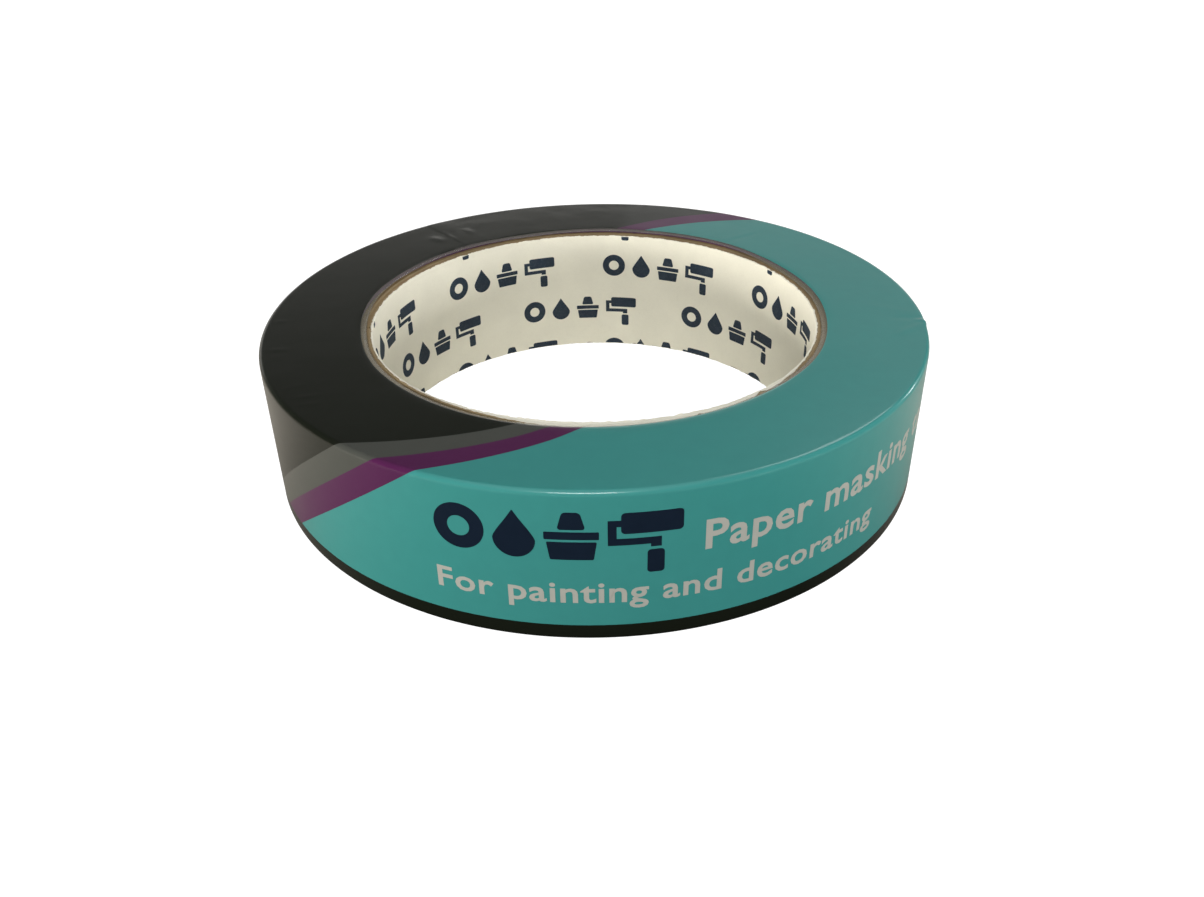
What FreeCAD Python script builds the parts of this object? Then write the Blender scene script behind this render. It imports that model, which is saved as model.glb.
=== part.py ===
"""Masking tape roll, sealed in its printed shrink film and lying on one face.

Frame: millimetres, +Z up along the roll's axis, origin at the centre of the bore on the plane the
roll rests on. The front of the roll, where the label starts, faces -Y.

From the bore outwards the roll is:
  core      a paperboard tube wound in a spiral from narrow plies, each closed by one slanting butt
            seam, with a white liner inside
  tape      one long strip of thin paper tape, wound on the core until it is used up; its end shows
            as a step across the outside
  film      a heat-shrunk sleeve over the outside and both faces, its edges drawn down over the core
"""

import FreeCAD
import Part

import math
import os

# Driving dimensions.
BORE_RADIUS = 38.1             # the standard three inch core
CORE_LENGTH = 24.4
TAPE_WIDTH = 25.0
TAPE_THICKNESS = 0.097
TAPE_LENGTH = 50000.0
FILM_THICKNESS = 0.1

# The core's plies, from the bore outwards: node name, board thickness, where its seam meets the
# bottom in degrees from +X.
PLIES = [
    ("core_inner_liner", 0.15, 235.0),
    ("core_ply_1", 0.50, 128.0),
    ("core_ply_2", 0.50, 201.0),
    ("core_ply_3", 0.50, 275.0),
    ("core_ply_4", 0.50, 338.0),
    ("core_outer_ply", 0.25, 20.0),
]
PLY_WIND_PER_TURN = 153.0      # how far a ply climbs in one turn of the long tube it was cut from
SEAM_GAP = 0.4                 # measured along the axis

CRUSHED_EDGE_RADIUS = 0.7      # the film's pull rounds the outer edges of the wound tape
FILM_LIP_START = 2.9           # the lip bends down from here, outside the bore
FILM_LIP_END = 1.1             # the film's cut edge, outside the bore
FILM_LIP_RADIUS = 3.0

# Worked-out dimensions.
CORE_RADIUS = BORE_RADIUS + sum(thickness for _, thickness, _ in PLIES)
TAPE_RADIUS = math.sqrt(CORE_RADIUS**2 + TAPE_LENGTH * TAPE_THICKNESS / math.pi)
FILM_RADIUS = TAPE_RADIUS + FILM_THICKNESS
ROLL_HEIGHT = TAPE_WIDTH + 2.0 * FILM_THICKNESS

UP = FreeCAD.Vector(0, 0, 1)
ORIGIN = FreeCAD.Vector(0, 0, 0)


def ring(inner_radius, outer_radius, bottom, height):
    """A plain tube standing on the height `bottom`."""
    outer = Part.makeCylinder(outer_radius, height, FreeCAD.Vector(0, 0, bottom))
    inner = Part.makeCylinder(inner_radius, height, FreeCAD.Vector(0, 0, bottom))
    return outer.cut(inner)


def turned(edges):
    """The solid that a closed outline in the XZ plane makes in one full turn about the axis."""
    face = Part.Face(Part.Wire(edges))
    return face.revolve(ORIGIN, UP, 360.0)


def seam_slit(inner_radius, outer_radius, start_angle):
    """A thin slanting wall that follows a ply's butt seam up through the core."""
    run_out = 2.0
    climb = CORE_LENGTH + 2.0 * run_out
    inside = Part.makeHelix(PLY_WIND_PER_TURN, climb, inner_radius - 0.1)
    outside = Part.makeHelix(PLY_WIND_PER_TURN, climb, outer_radius + 0.1)
    sheet = Part.makeRuledSurface(inside.Edges[0], outside.Edges[0])
    wall = sheet.extrude(FreeCAD.Vector(0, 0, SEAM_GAP))
    lead_in = 360.0 * run_out / PLY_WIND_PER_TURN
    wall.rotate(ORIGIN, UP, start_angle - lead_in)
    wall.translate(FreeCAD.Vector(0, 0, FILM_THICKNESS - run_out))
    return wall


def core_plies():
    """Each board ply of the core as a ring that its own seam leaves open."""
    shapes = {}
    radius = BORE_RADIUS
    for name, thickness, start_angle in PLIES:
        ply = ring(radius, radius + thickness, FILM_THICKNESS, CORE_LENGTH)
        shapes[name] = ply.cut(seam_slit(radius, radius + thickness, start_angle))
        radius += thickness
    return shapes


def wound_tape():
    """The strip wound up tight: a spiral outline with its end as a step, and crushed edges."""
    start = FreeCAD.Vector(TAPE_RADIUS, 0, 0)
    far_side = FreeCAD.Vector(-TAPE_RADIUS, 0, 0)
    under_end = FreeCAD.Vector(TAPE_RADIUS - TAPE_THICKNESS, 0, 0)
    first_half = Part.Arc(start, FreeCAD.Vector(0, TAPE_RADIUS, 0), far_side)
    second_centre = (far_side + under_end) * 0.5
    second_radius = TAPE_RADIUS - 0.5 * TAPE_THICKNESS
    lowest = second_centre - FreeCAD.Vector(0, second_radius, 0)
    second_half = Part.Arc(far_side, lowest, under_end)
    tape_end = Part.LineSegment(under_end, start)
    outline = Part.Wire([first_half.toShape(), second_half.toShape(), tape_end.toShape()])
    block = Part.Face(outline).extrude(FreeCAD.Vector(0, 0, TAPE_WIDTH))
    block.translate(FreeCAD.Vector(0, 0, FILM_THICKNESS))

    bottom = FILM_THICKNESS
    top = bottom + TAPE_WIDTH
    envelope = ring(CORE_RADIUS, TAPE_RADIUS, bottom, TAPE_WIDTH)
    outer_edges = [
        edge for edge in envelope.Edges
        if edge.Closed and abs(edge.BoundBox.XMax - TAPE_RADIUS) < 0.01
        and min(abs(edge.BoundBox.ZMin - bottom), abs(edge.BoundBox.ZMin - top)) < 0.01
        and edge.BoundBox.ZLength < 0.01
    ]
    return block.common(envelope.makeFillet(CRUSHED_EDGE_RADIUS, outer_edges))


def film_skin(offset):
    """One side of the film from its top edge round to its bottom edge, in the XZ plane.

    offset is 0 for the outside of the film and its thickness for the inside.
    """
    side = FILM_RADIUS - offset
    top = ROLL_HEIGHT - offset
    corner = CRUSHED_EDGE_RADIUS + FILM_THICKNESS - offset
    corner_middle = corner * (1.0 - math.sqrt(0.5))
    lip_radius = FILM_LIP_RADIUS - offset
    lip_start = BORE_RADIUS + FILM_LIP_START
    lip_end_sine = (FILM_LIP_START - FILM_LIP_END) / FILM_LIP_RADIUS
    lip_turn = math.asin(lip_end_sine)

    def on_lip(turn):
        x = lip_start - lip_radius * math.sin(turn)
        z = top - lip_radius * (1.0 - math.cos(turn))
        return FreeCAD.Vector(x, 0, z)

    def point(x, z):
        return FreeCAD.Vector(x, 0, z)

    bottom = offset
    bottom_edge = point(BORE_RADIUS + FILM_LIP_END, bottom)
    curves = [
        Part.Arc(on_lip(lip_turn), on_lip(0.5 * lip_turn), on_lip(0.0)),
        Part.LineSegment(on_lip(0.0), point(side - corner, top)),
        Part.Arc(
            point(side - corner, top),
            point(side - corner_middle, top - corner_middle),
            point(side, top - corner),
        ),
        Part.LineSegment(point(side, top - corner), point(side, bottom + corner)),
        Part.Arc(
            point(side, bottom + corner),
            point(side - corner_middle, bottom + corner_middle),
            point(side - corner, bottom),
        ),
        Part.LineSegment(point(side - corner, bottom), bottom_edge),
    ]
    return [curve.toShape() for curve in curves], on_lip(lip_turn), bottom_edge


def shrink_film():
    """The sleeve as a thin skin that wraps the side, both faces and the ends of the core."""
    outside, outer_top, outer_bottom = film_skin(0.0)
    inside, inner_top, inner_bottom = film_skin(FILM_THICKNESS)
    cut_edges = [
        Part.LineSegment(outer_top, inner_top).toShape(),
        Part.LineSegment(outer_bottom, inner_bottom).toShape(),
    ]
    ordered = Part.sortEdges(outside + inside + cut_edges)[0]
    return turned(ordered)


def main():
    """Builds every piece and writes one STEP file for each."""
    os.makedirs("parts", exist_ok=True)
    shapes = core_plies()
    shapes["wound_tape"] = wound_tape()
    shapes["shrink_film"] = shrink_film()
    for name, shape in shapes.items():
        for solid in shape.Solids:
            if not solid.isValid():
                print("not valid:", name)
        shape.exportStep(f"parts/{name}.step")
        print(f"{name}: {len(shape.Solids)} solid, {shape.Volume:.1f} mm3")
    print(f"core radius {CORE_RADIUS:.2f}, outside radius {FILM_RADIUS:.2f}, height {ROLL_HEIGHT:.2f}")


main()
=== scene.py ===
"""Masking tape roll: a wide paperboard core, thin purple paper tape wound on it, and a printed
shrink film round the outside and both faces. Lengths are in millimetres until a mesh is finished.
"""

import math

import bmesh
import bpy
from mathutils import Matrix, Vector, noise


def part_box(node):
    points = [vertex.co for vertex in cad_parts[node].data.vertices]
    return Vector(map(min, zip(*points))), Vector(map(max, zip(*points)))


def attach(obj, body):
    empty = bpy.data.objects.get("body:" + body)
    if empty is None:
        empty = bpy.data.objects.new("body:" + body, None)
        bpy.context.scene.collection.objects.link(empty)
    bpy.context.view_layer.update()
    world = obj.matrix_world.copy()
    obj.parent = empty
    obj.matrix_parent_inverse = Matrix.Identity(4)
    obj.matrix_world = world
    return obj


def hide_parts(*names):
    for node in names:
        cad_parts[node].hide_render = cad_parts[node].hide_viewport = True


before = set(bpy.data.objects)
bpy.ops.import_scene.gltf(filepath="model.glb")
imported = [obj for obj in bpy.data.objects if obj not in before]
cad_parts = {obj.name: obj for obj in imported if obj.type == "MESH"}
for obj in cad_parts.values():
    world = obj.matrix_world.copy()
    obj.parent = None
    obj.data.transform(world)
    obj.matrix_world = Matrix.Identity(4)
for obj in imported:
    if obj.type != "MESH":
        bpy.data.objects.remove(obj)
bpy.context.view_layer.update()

# ---------------------------------------------------------------------------------------------
# Camera: held over the front of the roll, so that it looks down at the roll at about 30 degrees.
# ---------------------------------------------------------------------------------------------
mm = 0.001
scene = bpy.context.scene
scene.view_settings.view_transform = "Standard"

camera_data = bpy.data.cameras.new("camera")
camera_data.lens = 31.332
camera_data.sensor_width = 36.0
camera_data.clip_start = 0.005
camera = bpy.data.objects.new("camera", camera_data)
camera.location = (0.0, -167.805 * mm, 101.047 * mm)
camera.rotation_euler = (math.radians(58.122), math.radians(0.7495), math.radians(-0.8174))
scene.collection.objects.link(camera)
scene.camera = camera

# ---------------------------------------------------------------------------------------------
# Studio: a white table under soft lamps, with lamps for pale walls behind. The camera sees the table
# as pure white. The gloss of the roll mirrors the same table with painted shade on it: near black in
# front of the roll, fading to beige further out, and a painted pool of light under its bore that
# lights the bore from below.
# ---------------------------------------------------------------------------------------------
table_mesh = bpy.data.meshes.new("table")
table_shape = bmesh.new()
bmesh.ops.create_grid(table_shape, x_segments=1, y_segments=1, size=6.0)
table_shape.to_mesh(table_mesh)
table_shape.free()
table = bpy.data.objects.new("table", table_mesh)
scene.collection.objects.link(table)

table_paint = bpy.data.materials.new("white table")
table_paint.use_nodes = True
nodes, links = table_paint.node_tree.nodes, table_paint.node_tree.links
nodes.clear()
table_output = nodes.new("ShaderNodeOutputMaterial")
table_place = nodes.new("ShaderNodeTexCoord")
painted_shade_distance = nodes.new("ShaderNodeVectorMath")          # painted shade in front, seen only in the roll's gloss
painted_shade_distance.operation = "DISTANCE"
painted_shade_distance.inputs[1].default_value = (0.003, -0.09, 0.0)
links.new(table_place.outputs["Object"], painted_shade_distance.inputs[0])
painted_shade_fade = nodes.new("ShaderNodeMapRange")
painted_shade_fade.inputs["From Min"].default_value = 0.05
painted_shade_fade.inputs["From Max"].default_value = 0.115
links.new(painted_shade_distance.outputs["Value"], painted_shade_fade.inputs["Value"])
# Painted shade: the floor is near black in front of the roll and beige further out, as the roll's
# gloss and bounce light see it.
painted_shade_colour = nodes.new("ShaderNodeMix")
painted_shade_colour.data_type = "RGBA"
painted_shade_colour.inputs["A"].default_value = (0.020, 0.024, 0.022, 1.0)
painted_shade_colour.inputs["B"].default_value = (0.66, 0.61, 0.53, 1.0)
links.new(painted_shade_fade.outputs["Result"], painted_shade_colour.inputs["Factor"])
table_middle = nodes.new("ShaderNodeVectorMath")         # painted pool of light under the bore
table_middle.operation = "LENGTH"
links.new(table_place.outputs["Object"], table_middle.inputs[0])
# Painted light: a bright patch on the floor under the bore that stands in for light bouncing up
# inside it.
painted_light_patch = nodes.new("ShaderNodeMath")
painted_light_patch.operation = "LESS_THAN"
painted_light_patch.inputs[1].default_value = 0.039
links.new(table_middle.outputs["Value"], painted_light_patch.inputs[0])
table_seen_by_roll = nodes.new("ShaderNodeMix")
table_seen_by_roll.data_type = "RGBA"
table_seen_by_roll.inputs["B"].default_value = (0.90, 0.89, 0.84, 1.0)
links.new(painted_light_patch.outputs["Value"], table_seen_by_roll.inputs["Factor"])
links.new(painted_shade_colour.outputs["Result"], table_seen_by_roll.inputs["A"])
table_painted_light_and_shade = nodes.new("ShaderNodeBsdfDiffuse")
links.new(table_seen_by_roll.outputs["Result"], table_painted_light_and_shade.inputs["Color"])
table_matt = nodes.new("ShaderNodeBsdfDiffuse")
table_matt.inputs["Color"].default_value = (0.9, 0.9, 0.9, 1.0)
table_glow = nodes.new("ShaderNodeEmission")
table_glow.inputs["Color"].default_value = (1.0, 1.0, 1.0, 1.0)
table_glow.inputs["Strength"].default_value = 1.25
table_white = nodes.new("ShaderNodeMixShader")
table_white.inputs["Fac"].default_value = 0.88
table_mix = nodes.new("ShaderNodeMixShader")
table_seen = nodes.new("ShaderNodeLightPath")
links.new(table_matt.outputs["BSDF"], table_white.inputs[1])
links.new(table_glow.outputs["Emission"], table_white.inputs[2])
links.new(table_seen.outputs["Is Camera Ray"], table_mix.inputs["Fac"])
links.new(table_painted_light_and_shade.outputs["BSDF"], table_mix.inputs[1])
links.new(table_white.outputs["Shader"], table_mix.inputs[2])
links.new(table_mix.outputs["Shader"], table_output.inputs["Surface"])
table_mesh.materials.append(table_paint)

sky = bpy.data.worlds.new("studio")
sky.use_nodes = True
sky_nodes, sky_links = sky.node_tree.nodes, sky.node_tree.links
sky_fill = sky_nodes["Background"]
sky_fill.inputs["Color"].default_value = (0.93, 0.96, 1.0, 1.0)
sky_fill.inputs["Strength"].default_value = 0.03
sky_backdrop = sky_nodes.new("ShaderNodeBackground")     # the camera sees plain white behind
sky_backdrop.inputs["Color"].default_value = (1.0, 1.0, 1.0, 1.0)
sky_seen = sky_nodes.new("ShaderNodeLightPath")
sky_mix = sky_nodes.new("ShaderNodeMixShader")
sky_links.new(sky_seen.outputs["Is Camera Ray"], sky_mix.inputs["Fac"])
sky_links.new(sky_fill.outputs["Background"], sky_mix.inputs[1])
sky_links.new(sky_backdrop.outputs["Background"], sky_mix.inputs[2])
sky_links.new(sky_mix.outputs["Shader"], sky_nodes["World Output"].inputs["Surface"])
scene.world = sky


def soft_lamp(name, place, aim, width, height, power, warmth=(1.0, 1.0, 1.0), mirrored=True):
    """One rectangular lamp that faces a point, in metres; gloss shows it only if mirrored."""
    light = bpy.data.lights.new(name, "AREA")
    light.shape = "RECTANGLE"
    light.size = width
    light.size_y = height
    light.energy = power
    light.color = warmth
    lamp = bpy.data.objects.new(name, light)
    lamp.location = place
    lamp.rotation_euler = (Vector(aim) - Vector(place)).to_track_quat("-Z", "Y").to_euler()
    lamp.visible_glossy = mirrored
    scene.collection.objects.link(lamp)


soft_lamp("key", (-0.05, -0.62, 0.70), (0, 0, 0.01), 0.28, 0.18, 3.9)
soft_lamp("ceiling", (0.0, 0.0, 1.1), (0, 0, 0), 1.0, 1.0, 1.85)
soft_lamp("right ceiling", (0.22, 0.32, 0.42), (0.03, 0.02, 0.02), 0.2, 0.2, 0.42)
soft_lamp("left window", (-0.87, -0.25, 0.085), (0, 0, 0.01), 0.7, 0.15, 8.2, (1.0, 0.97, 0.92),
          mirrored=False)
soft_lamp("right fill", (0.78, -0.42, 0.085), (0, 0, 0.01), 0.6, 0.15, 4.5, mirrored=False)
soft_lamp("back wall", (-0.2, 1.1, 0.19), (0, 0, 0.0), 1.9, 0.38, 1.6, (1.0, 0.98, 0.93))
soft_lamp("back right wall", (0.38, 1.0, 0.33), (0.03, 0.03, 0.02), 0.7, 0.42, 0.16)
soft_lamp("back right window", (0.945, 0.481, 0.28), (0, 0, 0.0), 0.10, 0.20, 0.8)

# ---------------------------------------------------------------------------------------------
# Shrink film: one sleeve of clear plastic, printed on its inside and shrunk by heat over the
# outside and both faces. It is welded along one line, gathers into small creases at the edges and
# is left clear where it bends down over the core.
# ---------------------------------------------------------------------------------------------
film_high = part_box("shrink_film")[1]
film_radius = film_high.x / mm - 0.02       # leaves room for the ink that stands on it
roll_height = film_high.z / mm
film_corner = 0.8
upper_corner_steps, lower_corner_steps = 8, 4
film_thickness = 0.06
film_cut_edge = 39.2                        # where the film ends, over the end of the core
lip_start, lip_radius = 40.7, 3.0           # the lip rolls down from here
print_edge = 40.2
dark_band_top = 2.78                        # the dark stripe along the bottom of the side

# Rings of the film's outline, as (radius, height, distance along the film from the upper corner).
outline = []


def add_to_outline(radius, height):
    """Adds one ring, with its distance from the ring before."""
    if outline:
        step = math.hypot(radius - outline[-1][0], height - outline[-1][1])
        outline.append((radius, height, outline[-1][2] - step))
    else:
        outline.append((radius, height, 0.0))


lip_turn = math.asin((lip_start - film_cut_edge) / lip_radius)
for radius in (film_cut_edge, 39.5, 39.8, print_edge, 40.4):
    drop = lip_radius - math.sqrt(lip_radius**2 - (lip_start - radius) ** 2)
    add_to_outline(radius, roll_height - drop)
radius = lip_start
while radius < film_radius - film_corner - 0.3:
    add_to_outline(radius, roll_height)
    radius += 1.0 if radius < 47.0 else 0.55
for step in range(upper_corner_steps + 1):
    turn = step / upper_corner_steps * math.pi / 2
    add_to_outline(
        film_radius - film_corner * (1.0 - math.sin(turn)),
        roll_height - film_corner * (1.0 - math.cos(turn)),
    )
for height in (23.9, 23.3, 22.6, 21.6, 20.3, 18.6, 16.6, 14.4, 12.2, 10.0, 8.0, 6.0, 4.2,
               dark_band_top):
    add_to_outline(film_radius, height)
for step in range(lower_corner_steps + 1):
    turn = step / lower_corner_steps * math.pi / 2
    add_to_outline(
        film_radius - film_corner * (1.0 - math.cos(turn)),
        film_corner * (1.0 - math.sin(turn)),
    )
for radius in (50.0, 44.0, print_edge, film_cut_edge):
    add_to_outline(radius, 0.0)
middle_sum = film_radius + roll_height - 2 * (1.0 - math.sqrt(0.5)) * film_corner
corner_middle = min(outline, key=lambda ring: abs(ring[0] + ring[1] - middle_sum))[2]
outline = [(radius, height, along - corner_middle) for radius, height, along in outline]

# The columns of the film's mesh. Each entry is (number of columns to the next one, angle at the
# upper corner, whether the line slants with the printed bands).
columns = [
    (70, 10.0, None),       # plain teal
    (14, 51.2, "back"),     # back purple band
    (62, 59.5, "back"),     # charcoal
    (36, 100.0, None),
    (12, 127.0, None),      # the weld
    (60, 129.0, None),
    (96, 180.0, None),
    (12, 229.9, "front"),   # grey band
    (12, 237.0, "front"),   # front purple band
    (76, 243.8, "front"),  # teal
    (90, 290.0, None),
    (28, 351.5, None),      # the sharpest crease
    (32, 355.5, None),
]
film_steps = sum(count for count, _, _ in columns)
bands_end = -25.5                           # the bands stop slanting here, at the foot of the side
teal, charcoal, purple, grey, clear = range(5)
column_print = [teal, purple, charcoal, charcoal, charcoal, charcoal, charcoal, grey, purple,
                teal, teal, teal, teal]


def line_angle(entry, along):
    """Angle in degrees of one column line at a distance along the film."""
    _, angle, slant = entry
    along = max(along, bands_end)
    if slant is None:
        return angle
    if slant == "back":
        return angle + 1.45 * along
    return angle + (1.25 * along + 0.0145 * along**2 if along > 0 else 1.39 * along)


def column_angle(column, along):
    """Angle in degrees of any column, shared out evenly between the lines on its two sides."""
    first = 0
    for place, entry in enumerate(columns):
        if column < first + entry[0]:
            start = line_angle(entry, along)
            after = columns[(place + 1) % len(columns)]
            end = line_angle(after, along) + (360.0 if place + 1 == len(columns) else 0.0)
            return start + (end - start) * (column - first) / entry[0]
        first += entry[0]
    return column_angle(column - film_steps, along) + 360.0


def outward_normals(shape):
    """Makes every face of a shape look outwards."""
    bmesh.ops.recalc_face_normals(shape, faces=shape.faces)
    if shape.calc_volume(signed=True) < 0:
        bmesh.ops.reverse_faces(shape, faces=shape.faces)


def bell(distance, width):
    """1 in the middle, falling away smoothly on both sides."""
    return math.exp(-((distance / width) ** 2))


# Creases, as (angle, from, to, height, width, lean): from and to are distances in from the upper
# corner, and lean is how many degrees the crease turns in each millimetre.
creases = [
    (353.2, -3.0, 1.4, 0.14, 0.70, 0.0),
    (352.4, -0.8, 5.6, 0.075, 0.90, -1.10),
    (354.0, -0.4, 6.0, -0.040, 1.00, 0.0),
    (355.8, 0.4, 9.0, 0.025, 1.10, 0.45),
    (349.2, 2.0, 8.5, 0.012, 0.70, 0.0),
    (182.8, 1.4, 3.6, 0.028, 0.40, 0.0),
    (193.8, 1.4, 4.4, 0.030, 0.40, 0.3),
    (195.4, 1.6, 3.4, -0.014, 0.40, 0.3),
    (209.8, 1.8, 4.4, 0.016, 0.45, 0.0),
    (212.6, 1.8, 5.6, 0.024, 0.45, 0.4),
    (215.6, 2.0, 4.6, 0.018, 0.45, 0.4),
    (45.0, 6.0, 16.4, -0.035, 0.50, 0.3),
    (46.6, 7.0, 15.0, 0.020, 0.60, 0.3),
    (122.5, 7.2, 10.4, 0.040, 0.60, 0.0),
    (124.2, 6.6, 9.6, -0.030, 0.55, 0.3),
    (131.5, 6.8, 10.8, 0.045, 0.60, 0.0),
    (133.6, 7.6, 10.0, 0.025, 0.60, -0.3),
    (262.0, 3.0, 6.0, 0.010, 0.60, 0.0),
    (318.0, -1.2, 2.4, 0.015, 0.50, 0.0),
    (78.0, -1.0, 2.2, 0.025, 0.50, 0.0),
]
weld_angle, weld_step, weld_lap = 128.0, 0.022, 6.0


def film_rise(angle, along, radius):
    """How far the film stands proud of a true surface, in millimetres."""
    turn = math.radians(angle)
    x, y = radius * math.cos(turn), radius * math.sin(turn)
    rise = 0.012 * noise.noise(Vector((x * 0.16, y * 0.16, along * 0.12)))
    if along > 0:
        rise += 0.004 * noise.noise(Vector((x * 0.5, y * 0.5, 3.0)))
    for crease_angle, start, end, height, width, lean in creases:
        apart = angle - crease_angle - lean * max(0.0, along)
        aside = ((apart + 180.0) % 360.0 - 180.0) * math.pi / 180.0 * radius
        if abs(aside) < 4 * width and start - 1.5 < along < end + 1.5:
            middle, reach = (start + end) / 2, (end - start) / 2
            fade = max(0.0, 1.0 - ((along - middle) / (reach + 0.6)) ** 2)
            rise += height * bell(aside, width) * fade
    aside = ((angle - weld_angle + 180.0) % 360.0 - 180.0) * math.pi / 180.0 * radius
    if -weld_lap < aside < 1.5:
        edge = 1.0 / (1.0 + math.exp((aside - 0.2) / 0.14))
        rise += weld_step * edge * min(1.0, max(0.0, (aside + weld_lap) / 4.0))
    return rise


def edge_wander(angle):
    """How far the print and the cut edge of the film wander in and out over the core."""
    turn = math.radians(angle)
    return (0.40 * math.sin(turn - math.radians(20)) + 0.20 * math.cos(4 * turn - math.radians(240))
            + 0.10 * math.sin(9 * turn))


film_mesh = bpy.data.meshes.new("film_sleeve")
film = bmesh.new()
ring_mark = film.verts.layers.int.new("ring")
profile = [film.verts.new((radius, 0.0, height)) for radius, height, _ in outline]
for number, vertex in enumerate(profile):
    vertex[ring_mark] = number
profile_edges = [film.edges.new(pair) for pair in zip(profile, profile[1:])]
bmesh.ops.spin(film, geom=profile + profile_edges, cent=(0, 0, 0), axis=(0, 0, 1),
               angle=2 * math.pi, steps=film_steps, use_merge=True)
vertex_place = {}
for vertex in film.verts:
    turn = math.atan2(vertex.co.y, vertex.co.x)
    vertex_place[vertex] = (vertex[ring_mark], round(turn / (2 * math.pi) * film_steps) % film_steps)

last_ring = len(outline) - 1
lip_rings = 12                              # the rings that the lip can bend down
wander_start, wander_full = 44.0, 40.0      # the radii between which the lip's wandering grows
for face in film.faces:
    places = [vertex_place[vertex] for vertex in face.verts]
    rings = [ring for ring, _ in places]
    face_columns = sorted({column for _, column in places})
    column = face_columns[0] if face_columns[-1] - face_columns[0] == 1 else face_columns[-1]
    first = 0
    for entry, ink in zip(columns, column_print):
        if column < first + entry[0]:
            face.material_index = ink
            break
        first += entry[0]
    if outline[max(rings)][2] < 0 and outline[min(rings)][1] <= dark_band_top + 0.01:
        face.material_index = charcoal
    if outline[min(rings)][0] < print_edge - 0.05 and outline[max(rings)][0] < print_edge + 0.05:
        face.material_index = clear
    if min(rings) == last_ring - 1:
        face.material_index = clear
    face.smooth = True

for vertex, (ring, column) in vertex_place.items():
    radius, height, along = outline[ring]
    angle = column_angle(column, along)
    near_core = max(0.0, min(1.0, (wander_start - radius) / (wander_start - wander_full)))
    moved = radius + near_core * edge_wander(angle)
    if height > roll_height / 2 and moved < lip_start:
        height = roll_height - lip_radius + math.sqrt(lip_radius**2 - (lip_start - moved) ** 2)
    if ring == 0:
        moved += 0.10 * noise.noise(Vector((angle * 0.35, 5.0, 1.0)))
    rise = film_rise(angle, along, moved)
    turn = math.radians(angle)
    if height > roll_height - 1e-6 or ring < lip_rings:
        height += rise
    elif height > 0.01:
        moved += rise
        if height > roll_height - film_corner:
            height += rise * (height - roll_height + film_corner) / film_corner
    vertex.co = Vector((moved * math.cos(turn), moved * math.sin(turn), max(height, 0.0))) * mm

outward_normals(film)
film.to_mesh(film_mesh)
film.free()
film_sleeve = bpy.data.objects.new("film_sleeve", film_mesh)
scene.collection.objects.link(film_sleeve)
wall = film_sleeve.modifiers.new("film thickness", "SOLIDIFY")
wall.thickness = film_thickness * mm
wall.offset = -1.0

# Printed film under gloss: the ink varies a little in strength, and the film follows the edges of
# the tape's turns underneath it as fine rings on the faces and fine bands round the side.
film_finish = bpy.data.node_groups.new("printed film finish", "ShaderNodeTree")
for name, kind, value in (("Ink", "NodeSocketColor", (0.1, 0.1, 0.1, 1.0)),
                          ("Ink Variation", "NodeSocketFloat", 0.1),
                          ("Gloss", "NodeSocketFloat", 0.3),
                          ("Waviness", "NodeSocketFloat", 1.0)):
    socket = film_finish.interface.new_socket(name=name, in_out="INPUT", socket_type=kind)
    socket.default_value = value
for name, kind in (("Color", "NodeSocketColor"), ("Roughness", "NodeSocketFloat"),
                   ("Height", "NodeSocketFloat")):
    film_finish.interface.new_socket(name=name, in_out="OUTPUT", socket_type=kind)
nodes, links = film_finish.nodes, film_finish.links
given = nodes.new("NodeGroupInput")
result = nodes.new("NodeGroupOutput")
place = nodes.new("ShaderNodeTexCoord")
split = nodes.new("ShaderNodeSeparateXYZ")
links.new(place.outputs["Object"], split.inputs["Vector"])
flat = nodes.new("ShaderNodeCombineXYZ")
links.new(split.outputs["X"], flat.inputs["X"])
links.new(split.outputs["Y"], flat.inputs["Y"])
reach = nodes.new("ShaderNodeVectorMath")
reach.operation = "LENGTH"
links.new(flat.outputs["Vector"], reach.inputs[0])
turns_place = nodes.new("ShaderNodeCombineXYZ")
links.new(reach.outputs["Value"], turns_place.inputs["X"])
links.new(split.outputs["Z"], turns_place.inputs["Y"])
turns = nodes.new("ShaderNodeTexNoise")          # the tape's turns, telegraphing through
turns.inputs["Scale"].default_value = 2600.0
turns.inputs["Detail"].default_value = 2.0
links.new(turns_place.outputs["Vector"], turns.inputs["Vector"])
blotches = nodes.new("ShaderNodeTexNoise")       # uneven ink
blotches.inputs["Scale"].default_value = 420.0
blotches.inputs["Detail"].default_value = 2.0
links.new(place.outputs["Object"], blotches.inputs["Vector"])
ripples = nodes.new("ShaderNodeTexNoise")        # slow waves in the film
ripples.inputs["Scale"].default_value = 110.0
ripples.inputs["Detail"].default_value = 2.0
links.new(place.outputs["Object"], ripples.inputs["Vector"])
ink_shift = nodes.new("ShaderNodeMapRange")
ink_shift.inputs["To Min"].default_value = -1.0
ink_shift.inputs["To Max"].default_value = 1.0
links.new(blotches.outputs["Fac"], ink_shift.inputs["Value"])
ink_amount = nodes.new("ShaderNodeMath")
ink_amount.operation = "MULTIPLY_ADD"
ink_amount.inputs[2].default_value = 1.0
links.new(ink_shift.outputs["Result"], ink_amount.inputs[0])
links.new(given.outputs["Ink Variation"], ink_amount.inputs[1])
ink_colour = nodes.new("ShaderNodeVectorMath")
ink_colour.operation = "SCALE"
links.new(given.outputs["Ink"], ink_colour.inputs[0])
links.new(ink_amount.outputs["Value"], ink_colour.inputs["Scale"])
links.new(ink_colour.outputs["Vector"], result.inputs["Color"])
scuffs = nodes.new("ShaderNodeTexNoise")         # where the film has rubbed slightly dull
scuffs.inputs["Scale"].default_value = 60.0
scuffs.inputs["Detail"].default_value = 2.0
links.new(place.outputs["Object"], scuffs.inputs["Vector"])
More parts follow.
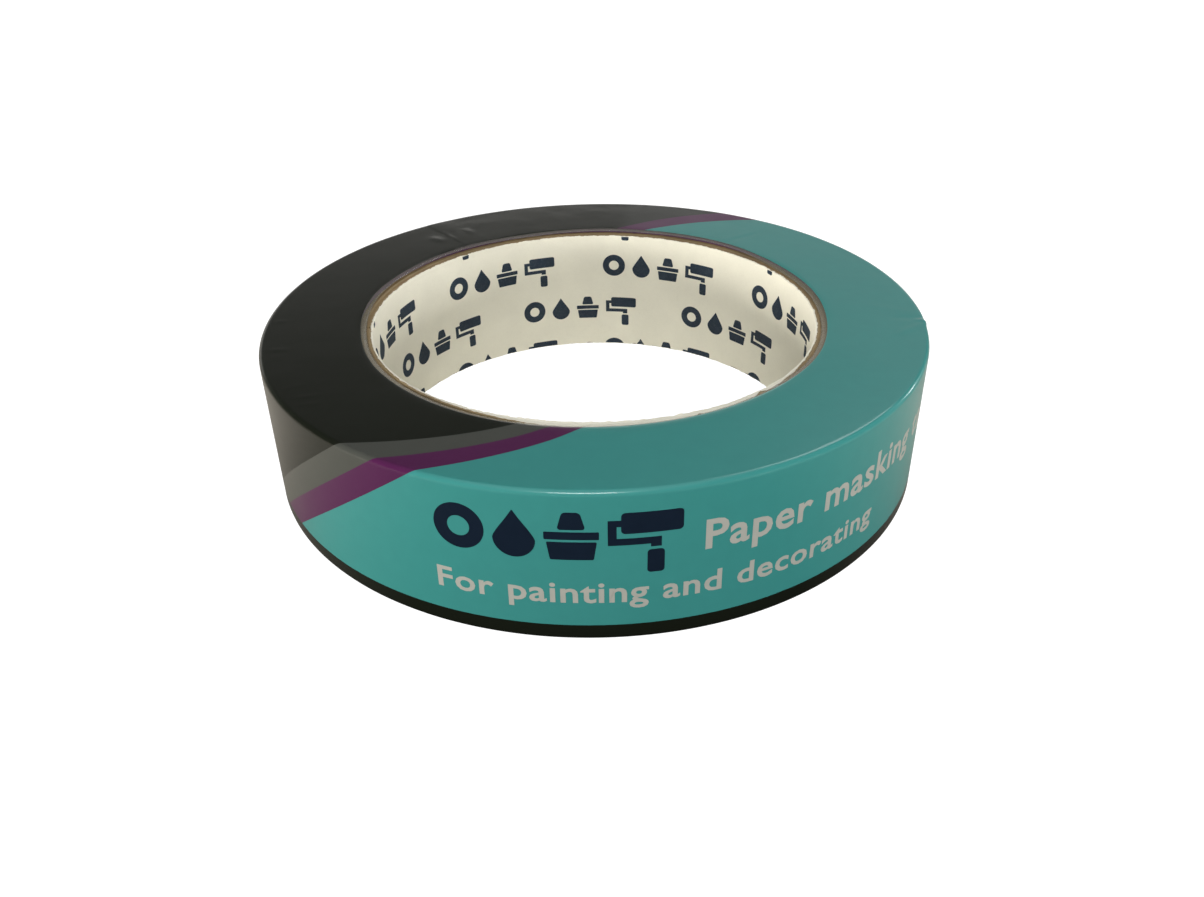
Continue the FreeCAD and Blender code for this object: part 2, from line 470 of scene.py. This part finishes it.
dulling = nodes.new("ShaderNodeMapRange")
dulling.inputs["To Min"].default_value = -0.035
dulling.inputs["To Max"].default_value = 0.045
links.new(scuffs.outputs["Fac"], dulling.inputs["Value"])
gloss = nodes.new("ShaderNodeMath")
gloss.operation = "ADD"
links.new(given.outputs["Gloss"], gloss.inputs[0])
links.new(dulling.outputs["Result"], gloss.inputs[1])
links.new(gloss.outputs["Value"], result.inputs["Roughness"])
fine = nodes.new("ShaderNodeMath")
fine.operation = "MULTIPLY"
fine.inputs[1].default_value = 0.035
links.new(turns.outputs["Fac"], fine.inputs[0])
height = nodes.new("ShaderNodeMath")
height.operation = "ADD"
links.new(fine.outputs["Value"], height.inputs[0])
links.new(ripples.outputs["Fac"], height.inputs[1])
waves = nodes.new("ShaderNodeMath")
waves.operation = "MULTIPLY"
links.new(height.outputs["Value"], waves.inputs[0])
links.new(given.outputs["Waviness"], waves.inputs[1])
links.new(waves.outputs["Value"], result.inputs["Height"])


def printed_film(name, ink, variation=0.04, gloss=0.315, waviness=1.0):
    """The film over one colour of ink."""
    material = bpy.data.materials.new(name)
    material.use_nodes = True
    nodes, links = material.node_tree.nodes, material.node_tree.links
    shader = nodes["Principled BSDF"]
    finish = nodes.new("ShaderNodeGroup")
    finish.node_tree = film_finish
    finish.inputs["Ink"].default_value = (*ink, 1.0)
    finish.inputs["Ink Variation"].default_value = variation
    finish.inputs["Gloss"].default_value = gloss
    finish.inputs["Waviness"].default_value = waviness
    bump = nodes.new("ShaderNodeBump")
    bump.inputs["Strength"].default_value = 0.5
    bump.inputs["Distance"].default_value = 0.00004
    links.new(finish.outputs["Height"], bump.inputs["Height"])
    links.new(finish.outputs["Color"], shader.inputs["Base Color"])
    links.new(finish.outputs["Roughness"], shader.inputs["Roughness"])
    links.new(bump.outputs["Normal"], shader.inputs["Normal"])
    shader.inputs["IOR"].default_value = 1.5
    shader.inputs["Specular IOR Level"].default_value = 0.25
    shader.inputs["Coat Weight"].default_value = 0.5
    shader.inputs["Coat Roughness"].default_value = 0.10
    return material


for ink_name, ink in (("film over teal ink", (0.052, 0.290, 0.270)),
                      ("film over charcoal ink", (0.0095, 0.0115, 0.0072)),
                      ("film over purple ink", (0.088, 0.0155, 0.074)),
                      ("film over grey ink", (0.074, 0.078, 0.068))):
    film_mesh.materials.append(printed_film(ink_name, ink))

# The unprinted margin: the same film with nothing behind it but the end of the core.
clear_film = printed_film("clear film", (0.25, 0.25, 0.21), variation=0.15, gloss=0.22)
clear_shader = clear_film.node_tree.nodes["Principled BSDF"]
clear_shader.inputs["Alpha"].default_value = 0.30
film_mesh.materials.append(clear_film)

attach(film_sleeve, "root")
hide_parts("shrink_film")

# ---------------------------------------------------------------------------------------------
# Label print on the side: four plain pictograms (roller, ring of tape, drop, brush) and two lines
# of plain words, all ink on the film and thinner than a hair.
# ---------------------------------------------------------------------------------------------
ink_depth = 0.015
font_cap_height = 0.682                     # of the built-in font, at a size of 1


def flat_shape(shape, points, rounding=0.0):
    """Adds one flat face with its corners rounded."""
    face = shape.faces.new([shape.verts.new((x, y, 0.0)) for x, y in points])
    if rounding:
        bmesh.ops.bevel(shape, geom=list(face.verts), offset=rounding, offset_type="OFFSET",
                        segments=4, profile=0.5, affect="VERTICES", material=-1)


def add_pictograms(shape, left, base, size, gap):
    """Ring of tape, drop, brush and roller in a row, each about `size` high."""
    part = bmesh.new()
    # ring of tape
    rims = [bmesh.ops.create_circle(part, segments=48, radius=radius)["verts"]
            for radius in (0.5, 0.22)]
    for rim in rims:
        bmesh.ops.translate(part, verts=rim, vec=(0.5, 0.5, 0.0))
    rim_edges = {edge for rim in rims for vertex in rim for edge in vertex.link_edges}
    bmesh.ops.bridge_loops(part, edges=list(rim_edges))
    across = 1.0 + gap

    # drop of paint
    drop = bmesh.ops.create_circle(part, cap_ends=True, segments=40, radius=0.40)["verts"]
    for vertex in drop:
        up = max(0.0, vertex.co.y / 0.40)
        vertex.co.x *= 1.0 - 0.80 * up**1.4 if up < 0.999 else 0.0
        vertex.co.y += 0.24 * up**1.5
    bmesh.ops.translate(part, verts=drop, vec=(across + 0.40, 0.38, 0.0))
    across += 0.80 + gap

    # brush: bristles, ferrule and handle
    flat_shape(part, [(across + 0.10, -0.02), (across + 0.90, -0.02), (across + 0.96, 0.38),
                      (across + 0.04, 0.38)], 0.03)
    flat_shape(part, [(across, 0.43), (across + 1.0, 0.43), (across + 1.0, 0.60),
                      (across, 0.60)], 0.02)
    flat_shape(part, [(across + 0.24, 0.65), (across + 0.76, 0.65), (across + 0.66, 1.03),
                      (across + 0.34, 1.03)], 0.07)
    across += 1.0 + gap

    # roller: sleeve, bent wire and handle
    flat_shape(part, [(across + 0.24, 0.54), (across + 1.38, 0.54), (across + 1.38, 1.0),
                      (across + 0.24, 1.0)], 0.08)
    flat_shape(part, [(across + 0.16, 0.84), (across, 0.84), (across, 0.29),
                      (across + 0.78, 0.29), (across + 0.78, 0.22), (across + 0.98, 0.22),
                      (across + 0.98, 0.44), (across + 0.16, 0.44), (across + 0.16, 0.70),
                      (across + 0.24, 0.70), (across + 0.24, 0.84)])
    flat_shape(part, [(across + 0.72, -0.36), (across + 1.04, -0.36), (across + 1.04, 0.16),
                      (across + 0.72, 0.16)], 0.07)
    bmesh.ops.scale(part, verts=part.verts, vec=(size, size, size))
    bmesh.ops.translate(part, verts=part.verts, vec=(left, base, 0.0))
    copy = bpy.data.meshes.new("pictograms")
    part.to_mesh(copy)
    part.free()
    shape.from_mesh(copy)
    bpy.data.meshes.remove(copy)


def add_words(shape, words, left, base, cap_height, stretch, weight):
    """Plain words as flat faces; weight pushes their outlines out, to make them bold."""
    text = bpy.data.curves.new(words, "FONT")
    text.body = words
    text.resolution_u = 3
    text.space_character = 1.06
    writer = bpy.data.objects.new(words, text)
    scene.collection.objects.link(writer)
    bpy.context.view_layer.update()
    letters = bpy.data.meshes.new_from_object(writer)
    bpy.data.objects.remove(writer)
    bold = bmesh.new()
    bold.from_mesh(letters)
    bmesh.ops.remove_doubles(bold, verts=bold.verts, dist=0.0005)
    pushes = {}
    for vertex in bold.verts:
        push = Vector()
        for edge in vertex.link_edges:
            if edge.is_boundary:
                start, end = edge.verts
                out = (end.co - start.co).cross(Vector((0, 0, 1))).normalized()
                if out.dot(edge.link_faces[0].calc_center_median() - start.co) > 0:
                    out.negate()
                push += out
        if push.length > 0.1:
            pushes[vertex] = push * (2 * weight / max(1.0, push.length_squared))
    for vertex, push in pushes.items():
        vertex.co += push
    bold.to_mesh(letters)
    bold.free()
    scale = cap_height / (font_cap_height + 2 * weight)
    letters.transform(Matrix.Translation((left, base, 0.0))
                      @ Matrix.Diagonal((scale * stretch, scale, scale, 1.0)))
    shape.from_mesh(letters)
    bpy.data.meshes.remove(letters)


def slice_upright(shape, spacing):
    """Cuts a flat shape into narrow upright strips so that it can bend round the roll."""
    bmesh.ops.remove_doubles(shape, verts=shape.verts, dist=0.0005)
    lowest = min(vertex.co.x for vertex in shape.verts)
    highest = max(vertex.co.x for vertex in shape.verts)
    cut = math.floor(lowest / spacing) * spacing + spacing
    while cut < highest:
        bmesh.ops.bisect_plane(shape, geom=shape.verts[:] + shape.edges[:] + shape.faces[:],
                               dist=1e-5, plane_co=(cut, 0, 0), plane_no=(1, 0, 0))
        cut += spacing


def finish_ink(shape, name, material):
    """Makes bent ink a piece of the roll, with crisp edges."""
    outward_normals(shape)
    for face in shape.faces:
        face.smooth = True
    for edge in shape.edges:
        edge.smooth = edge.calc_face_angle(0.0) < 0.5
    mesh = bpy.data.meshes.new(name)
    bmesh.ops.scale(shape, verts=shape.verts, vec=(mm, mm, mm))
    shape.to_mesh(mesh)
    shape.free()
    piece = bpy.data.objects.new(name, mesh)
    scene.collection.objects.link(piece)
    mesh.materials.append(material)
    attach(piece, "root")
    return piece


def wrap_on_side(shape):
    """Bends a flat shape round the side and gives it depth; x runs round from the front, y up."""
    slice_upright(shape, spacing=1.0)
    deep = bmesh.ops.extrude_face_region(shape, geom=shape.faces[:])["geom"]
    outer = {item for item in deep if isinstance(item, bmesh.types.BMVert)}
    for vertex in shape.verts:
        angle = 270.0 + math.degrees(vertex.co.x / film_radius)
        along = vertex.co.y - roll_height
        radius = film_radius + film_rise(angle, along, film_radius) - 0.004
        if vertex in outer:
            radius += ink_depth
        turn = math.radians(angle)
        vertex.co = (radius * math.cos(turn), radius * math.sin(turn), vertex.co.y)


navy_shape = bmesh.new()
add_pictograms(navy_shape, left=-22.9, base=14.4, size=7.4, gap=0.155)
wrap_on_side(navy_shape)
label_pictograms = finish_ink(
    navy_shape, "label_pictograms",
    printed_film("navy ink", (0.008, 0.015, 0.030), variation=0.1, gloss=0.33))

white_shape = bmesh.new()
add_words(white_shape, "Paper masking tape", left=14.3, base=14.4, cap_height=4.9,
          stretch=1.05, weight=0.020)
add_words(white_shape, "For painting and decorating", left=-23.6, base=6.9, cap_height=3.65,
          stretch=1.16, weight=0.018)
wrap_on_side(white_shape)
label_words = finish_ink(
    white_shape, "label_words",
    printed_film("white ink", (0.47, 0.47, 0.42), variation=0.05, gloss=0.33))

# ---------------------------------------------------------------------------------------------
# Core boards: narrow strips of brown board glued up in a spiral. Each is closed by one slanting
# butt seam, and the knife has left both ends of the tube slightly rough.
# ---------------------------------------------------------------------------------------------
wind_per_turn = 153.0                       # how far a strip climbs in one turn
seam_width = 0.4                            # measured along the axis
fuzz_room = 0.12                            # the cut ends lie this much lower, under their fuzz
burr_height, burr_angle, burr_spread = 0.34, 236.0, 24.0
paper_finish = bpy.data.node_groups.new("paper fibre", "ShaderNodeTree")
for name, kind, value in (("Color", "NodeSocketColor", (0.5, 0.5, 0.5, 1.0)),
                          ("Fleck Color", "NodeSocketColor", (0.3, 0.3, 0.3, 1.0)),
                          ("Flecks", "NodeSocketFloat", 0.2),
                          ("Fibre Size", "NodeSocketFloat", 1.0),
                          ("Blotches", "NodeSocketFloat", 0.1)):
    socket = paper_finish.interface.new_socket(name=name, in_out="INPUT", socket_type=kind)
    socket.default_value = value
for name, kind in (("Color", "NodeSocketColor"), ("Roughness", "NodeSocketFloat"),
                   ("Height", "NodeSocketFloat")):
    paper_finish.interface.new_socket(name=name, in_out="OUTPUT", socket_type=kind)
nodes, links = paper_finish.nodes, paper_finish.links
given = nodes.new("NodeGroupInput")
result = nodes.new("NodeGroupOutput")
place = nodes.new("ShaderNodeTexCoord")
sized = nodes.new("ShaderNodeVectorMath")
sized.operation = "SCALE"
links.new(place.outputs["Object"], sized.inputs[0])
links.new(given.outputs["Fibre Size"], sized.inputs["Scale"])
fibres = nodes.new("ShaderNodeTexNoise")
fibres.inputs["Scale"].default_value = 2200.0
fibres.inputs["Detail"].default_value = 6.0
fibres.inputs["Roughness"].default_value = 0.72
fibres.inputs["Distortion"].default_value = 1.2
links.new(sized.outputs["Vector"], fibres.inputs["Vector"])
formation = nodes.new("ShaderNodeTexNoise")      # the cloudiness of the sheet
formation.inputs["Scale"].default_value = 140.0
formation.inputs["Detail"].default_value = 4.0
links.new(sized.outputs["Vector"], formation.inputs["Vector"])
flecks = nodes.new("ShaderNodeMapRange")
flecks.inputs["From Min"].default_value = 0.48
flecks.inputs["From Max"].default_value = 0.72
links.new(fibres.outputs["Fac"], flecks.inputs["Value"])
fleck_share = nodes.new("ShaderNodeMath")
fleck_share.operation = "MULTIPLY"
links.new(flecks.outputs["Result"], fleck_share.inputs[0])
links.new(given.outputs["Flecks"], fleck_share.inputs[1])
flecked = nodes.new("ShaderNodeMix")
flecked.data_type = "RGBA"
links.new(fleck_share.outputs["Value"], flecked.inputs["Factor"])
links.new(given.outputs["Color"], flecked.inputs["A"])
links.new(given.outputs["Fleck Color"], flecked.inputs["B"])
cloud_shift = nodes.new("ShaderNodeMapRange")
cloud_shift.inputs["From Min"].default_value = 0.3
cloud_shift.inputs["From Max"].default_value = 0.7
cloud_shift.inputs["To Min"].default_value = -1.0
cloud_shift.inputs["To Max"].default_value = 1.0
links.new(formation.outputs["Fac"], cloud_shift.inputs["Value"])
cloud_amount = nodes.new("ShaderNodeMath")
cloud_amount.operation = "MULTIPLY_ADD"
cloud_amount.inputs[2].default_value = 1.0
links.new(cloud_shift.outputs["Result"], cloud_amount.inputs[0])
links.new(given.outputs["Blotches"], cloud_amount.inputs[1])
clouded = nodes.new("ShaderNodeVectorMath")
clouded.operation = "SCALE"
links.new(flecked.outputs["Result"], clouded.inputs[0])
links.new(cloud_amount.outputs["Value"], clouded.inputs["Scale"])
links.new(clouded.outputs["Vector"], result.inputs["Color"])
dryness = nodes.new("ShaderNodeMapRange")
dryness.inputs["To Min"].default_value = 0.74
dryness.inputs["To Max"].default_value = 0.92
links.new(fibres.outputs["Fac"], dryness.inputs["Value"])
links.new(dryness.outputs["Result"], result.inputs["Roughness"])
links.new(fibres.outputs["Fac"], result.inputs["Height"])


def paper(name, colour, fleck_colour, flecks=0.3, fibre_size=1.0, blotches=0.08, relief=0.03):
    """Uncoated paper or board; relief is the height of its fibres in millimetres."""
    material = bpy.data.materials.new(name)
    material.use_nodes = True
    nodes, links = material.node_tree.nodes, material.node_tree.links
    shader = nodes["Principled BSDF"]
    finish = nodes.new("ShaderNodeGroup")
    finish.node_tree = paper_finish
    finish.inputs["Color"].default_value = (*colour, 1.0)
    finish.inputs["Fleck Color"].default_value = (*fleck_colour, 1.0)
    finish.inputs["Flecks"].default_value = flecks
    finish.inputs["Fibre Size"].default_value = fibre_size
    finish.inputs["Blotches"].default_value = blotches
    bump = nodes.new("ShaderNodeBump")
    bump.inputs["Distance"].default_value = relief * mm
    links.new(finish.outputs["Height"], bump.inputs["Height"])
    links.new(finish.outputs["Color"], shader.inputs["Base Color"])
    links.new(finish.outputs["Roughness"], shader.inputs["Roughness"])
    links.new(bump.outputs["Normal"], shader.inputs["Normal"])
    shader.inputs["IOR"].default_value = 1.45
    return material


def wound_ply(name, node, inside, outside, seam_angle, steps, levels):
    """One ply as a ring that its seam leaves open, twisted to follow that seam."""
    low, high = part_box(node)
    bottom, top = low.z / mm, high.z / mm - fuzz_room
    heights = [bottom + (top - bottom - 0.6) * level / levels for level in range(levels + 1)]
    middle = (inside + outside) / 2
    points = ([(middle, bottom)] + [(outside, height) for height in heights]
              + [(outside, top), (middle, top), (inside, top)]
              + [(inside, height) for height in reversed(heights)])
    shape = bmesh.new()
    ring = [shape.verts.new((radius, 0.0, height)) for radius, height in points]
    edges = [shape.edges.new(pair) for pair in zip(ring, ring[1:] + ring[:1])]
    opening = seam_width / wind_per_turn * 2 * math.pi
    bmesh.ops.spin(shape, geom=ring + edges, cent=(0, 0, 0), axis=(0, 0, 1),
                   angle=2 * math.pi - opening, steps=steps, use_merge=False)
    bmesh.ops.holes_fill(shape, edges=[edge for edge in shape.edges if edge.is_boundary])
    start = math.radians(seam_angle) + opening
    for vertex in shape.verts:
        x, y, height = vertex.co
        radius, turn = math.hypot(x, y), math.atan2(y, x)
        if height > top - 0.1:
            height += 0.05 * noise.noise(Vector((x * 1.9, y * 1.9, 7.0 + radius)))
            height += 0.03 * noise.noise(Vector((x * 5.0, y * 5.0, radius)))
        elif height < bottom + 0.1:
            height += 0.05 * (0.5 + 0.5 * noise.noise(Vector((x * 1.9, y * 1.9, 1.0))))
        turn += start + height / wind_per_turn * 2 * math.pi
        if height > top - 0.2 and outside < 39.0:         # the knife's burr at the bore
            past_burr = (math.degrees(turn) - burr_angle + 180.0) % 360.0 - 180.0
            height += burr_height * bell(past_burr, burr_spread)
        vertex.co = (radius * math.cos(turn), radius * math.sin(turn), height)
    outward_normals(shape)
    for face in shape.faces:
        face.smooth = True
    for edge in shape.edges:
        edge.smooth = edge.calc_face_angle(0.0) < 0.7
    bmesh.ops.scale(shape, verts=shape.verts, vec=(mm, mm, mm))
    mesh = bpy.data.meshes.new(name)
    shape.to_mesh(mesh)
    shape.free()
    piece = bpy.data.objects.new(name, mesh)
    scene.collection.objects.link(piece)
    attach(piece, "root")
    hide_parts(node)
    return piece


brown_board = paper("brown board", (0.31, 0.215, 0.105), (0.15, 0.10, 0.045), flecks=0.5,
                    blotches=0.16, relief=0.08)
pale_board = paper("pale brown board", (0.38, 0.285, 0.155), (0.20, 0.14, 0.07), flecks=0.45,
                   blotches=0.16, relief=0.08)
for name, node, inside, outside, seam_angle, board in (
        ("core_board_1", "core_ply_1", 38.25, 38.75, 128.0, pale_board),
        ("core_board_2", "core_ply_2", 38.75, 39.25, 201.0, brown_board),
        ("core_board_3", "core_ply_3", 39.25, 39.75, 275.0, pale_board),
        ("core_board_4", "core_ply_4", 39.75, 40.25, 338.0, brown_board),
        ("core_board_outer", "core_outer_ply", 40.25, 40.5, 20.0, brown_board)):
    core_board = wound_ply(name, node, inside, outside, seam_angle, steps=360, levels=14)
    core_board.data.materials.append(board)

# ---------------------------------------------------------------------------------------------
# Core liner: thin white paper, printed before it was wound. The knife has torn its upper edge into
# a ragged fringe that stands up a little and folds out over the end of the boards, furthest at the
# front.
# ---------------------------------------------------------------------------------------------
bore_radius, liner_seam = 38.1, 235.0
core_liner = wound_ply("core_liner", "core_inner_liner", bore_radius, 38.25, liner_seam,
                       steps=720, levels=32)
liner_paper = paper("white liner paper", (0.91, 0.88, 0.745), (0.76, 0.72, 0.60), flecks=0.25,
                    blotches=0.03, relief=0.015)
core_liner.data.materials.append(liner_paper)
for vertex in core_liner.data.vertices:
    x, y, z = vertex.co / mm
    if z < 1.0:
        tear = noise.noise(Vector((x * 0.5, y * 0.5, 9.0)))
        tear += 0.5 * noise.noise(Vector((x * 2.0, y * 2.0, 9.0)))
        vertex.co.z += 0.35 * max(0.0, tear + 0.1) * mm

# The fringe's outline. Each ring is (radius, height above the core's end), and a radius up to 1 is a
# share of how far the fringe reaches out over the boards.
core_top, fringe_start = 24.38, 38.30
fringe = bmesh.new()
fringe_rings = ((38.10, -0.8), (38.10, -0.25), (38.14, 0.02), (38.24, 0.07), (0.35, 0.08),
                (0.7, 0.08), (1.0, 0.07), (1.0, 0.03), (0.5, 0.02), (38.26, 0.0), (38.2, -0.8))
fringe_profile = [fringe.verts.new((38.0, 0.0, float(ring))) for ring in range(len(fringe_rings))]
fringe_edges = [fringe.edges.new(pair)
                for pair in zip(fringe_profile, fringe_profile[1:] + fringe_profile[:1])]
bmesh.ops.spin(fringe, geom=fringe_profile + fringe_edges, cent=(0, 0, 0), axis=(0, 0, 1),
               angle=2 * math.pi, steps=900, use_merge=True)
for vertex in fringe.verts:
    turn = math.atan2(vertex.co.y, vertex.co.x)
    angle = math.degrees(turn) % 360.0
    ring = round(vertex.co.z)
    x, y = 38 * math.cos(turn), 38 * math.sin(turn)
    tear = noise.noise(Vector((x * 0.7, y * 0.7, 2.0))) + 0.7 * noise.noise(
        Vector((x * 2.4, y * 2.4, 4.0))) + 0.4 * noise.noise(Vector((x * 6.0, y * 6.0, 6.0)))
    reach = 0.08 + 1.9 * bell(angle - 286.0, 26.0)
    reach *= 1.0 - 0.85 * bell(angle - 293.0, 2.4) - 0.9 * bell(angle - 310.0, 2.0)
    reach += 0.22 * tear
    reach = max(0.06, reach)
    crest = 0.56 * bell(angle - 260.0, 46.0) + 0.16 * tear
    out, up = fringe_rings[ring]
    radius = out if out > 1.0 else fringe_start + out * reach
    height = core_top + up + 0.45 * max(0.0, radius - 39.3)
    if up > -0.3:
        height = min(roll_height - 0.05, height + crest * bell(radius - 38.15, 0.35))
    vertex.co = (radius * math.cos(turn), radius * math.sin(turn), height)
outward_normals(fringe)
for face in fringe.faces:
    face.smooth = True
bmesh.ops.scale(fringe, verts=fringe.verts, vec=(mm, mm, mm))
fringe_mesh = bpy.data.meshes.new("liner_fringe")
fringe.to_mesh(fringe_mesh)
fringe.free()
liner_fringe = bpy.data.objects.new("liner_fringe", fringe_mesh)
scene.collection.objects.link(liner_fringe)
fringe_mesh.materials.append(liner_paper)
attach(liner_fringe, "root")

# The liner's repeated print: the same four pictograms, seven to a turn, rows staggered by half.
marks_per_turn, mark_size = 7, 4.65
first_mark = 138.4
row_bases = (25.25, 15.75, 6.25, -3.25)
liner_marks = bmesh.new()
for row, base in enumerate(row_bases):
    for number in range(marks_per_turn):
        turn = first_mark + 360.0 / marks_per_turn * (number + (0.5 if row % 2 == 0 else 0.0))
        # x runs to the right as seen from inside the bore, so the angle falls as x grows
        left = math.radians(90.0 - turn) * bore_radius
        add_pictograms(liner_marks, left, base, mark_size, gap=0.333)
slice_upright(liner_marks, spacing=1.5)
for edge_height, keep_side in ((24.35, 1), (0.25, -1)):
    bmesh.ops.bisect_plane(
        liner_marks, geom=liner_marks.verts[:] + liner_marks.edges[:] + liner_marks.faces[:],
        dist=1e-5, plane_co=(0, edge_height, 0), plane_no=(0, keep_side, 0), clear_outer=True)
# The ink breaks where the liner's seam is open.
seam_normal = Vector((1.0, 2 * math.pi * bore_radius / wind_per_turn, 0.0))
seam_place = math.radians(90.0 - liner_seam) * bore_radius
seam_gap = seam_width / wind_per_turn * 2 * math.pi * bore_radius
for seam_side in (seam_place, seam_place - seam_gap):
    bmesh.ops.bisect_plane(
        liner_marks, geom=liner_marks.verts[:] + liner_marks.edges[:] + liner_marks.faces[:],
        dist=1e-5, plane_co=(seam_side, 0, 0), plane_no=seam_normal.normalized())
over_gap = [face for face in liner_marks.faces
            if -seam_gap < face.calc_center_median().dot(seam_normal) - seam_place < 0.0]
bmesh.ops.delete(liner_marks, geom=over_gap, context="FACES")
raised = bmesh.ops.extrude_face_region(liner_marks, geom=liner_marks.faces[:])["geom"]
raised = {item for item in raised if isinstance(item, bmesh.types.BMVert)}
for vertex in liner_marks.verts:
    turn = math.radians(90.0) - vertex.co.x / bore_radius
    radius = bore_radius - ink_depth if vertex in raised else bore_radius + 0.01
    vertex.co = (radius * math.cos(turn), radius * math.sin(turn), vertex.co.y)
liner_print = finish_ink(
    liner_marks, "liner_print",
    paper("liner ink", (0.020, 0.034, 0.055), (0.10, 0.12, 0.14), flecks=0.4, blotches=0.15,
          relief=0.01))

# ---------------------------------------------------------------------------------------------
# Wound tape: one strip of thin purple crepe paper, about 163 turns, wound up tight. Its outer
# edges are crushed round by the film.
# ---------------------------------------------------------------------------------------------
tape_low, tape_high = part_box("wound_tape")
tape_bottom, tape_top = tape_low.z / mm, tape_high.z / mm
tape_pitch, tape_turns, steps_per_turn = 0.097, 163.2, 96
tape_outside = tape_high.x / mm - 0.01
crushed = 0.7
tape = bmesh.new()
bmesh.ops.create_grid(tape, x_segments=round(tape_turns * steps_per_turn), y_segments=1, size=1.0)
for vertex in tape.verts:
    at_top = vertex.co.y > 0
    turns_in = (vertex.co.x + 1.0) / 2 * tape_turns
    radius = tape_outside - tape_pitch * turns_in
    round_off = max(0.0, radius - (tape_outside - crushed))
    inset = crushed - math.sqrt(max(0.0, crushed**2 - round_off**2))
    turn = turns_in * 2 * math.pi
    height = tape_top - inset if at_top else tape_bottom + inset
    vertex.co = Vector((radius * math.cos(turn), radius * math.sin(turn), height)) * mm
outward_normals(tape)
tape_mesh = bpy.data.meshes.new("tape_winding")
for face in tape.faces:
    face.smooth = True
tape.to_mesh(tape_mesh)
tape.free()
tape_winding = bpy.data.objects.new("tape_winding", tape_mesh)
scene.collection.objects.link(tape_winding)
tape_depth = tape_winding.modifiers.new("tape thickness", "SOLIDIFY")
tape_depth.thickness = 0.08 * mm
tape_depth.offset = -1.0
tape_mesh.materials.append(
    paper("purple crepe paper", (0.105, 0.050, 0.095), (0.17, 0.09, 0.16), flecks=0.4,
          blotches=0.10, relief=0.02))
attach(tape_winding, "root")
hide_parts("wound_tape")
